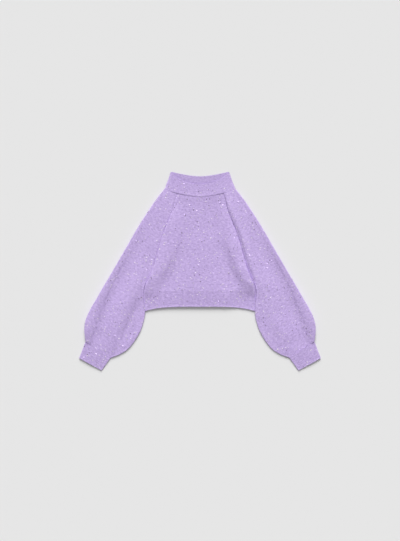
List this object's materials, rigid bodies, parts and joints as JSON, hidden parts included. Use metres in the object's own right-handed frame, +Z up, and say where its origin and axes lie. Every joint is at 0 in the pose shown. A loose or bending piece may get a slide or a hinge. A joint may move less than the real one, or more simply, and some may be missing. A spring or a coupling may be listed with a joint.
{
  "type": "cropped knit sweater",
  "caption": "Cropped pullover with a high ribbed collar, raglan balloon sleeves, ribbed cuffs and ribbed hem, laid flat on its back.",
  "frame": {"origin": "on the surface the garment lies on, under the middle of its outline", "axes": "+X from cuff to cuff towards the wearer's left sleeve, +Y from the hem towards the collar, +Z up out of the surface, from the back layer to the front layer"},
  "size_m": [0.894, 0.7359, 0.0095],
  "materials": {
    "knit": "fluffy lilac jersey knit with scattered sequins",
    "rib": "fluffy lilac rib knit with scattered sequins"
  },
  "bodies": {
    "root": {"body_front": "knit", "body_back": "knit", "sleeve_left": "knit", "sleeve_right": "knit", "collar": "rib", "hem_rib_front": "rib", "hem_rib_back": "rib", "cuff_left": "rib", "cuff_right": "rib"}
  },
  "joints": []
}
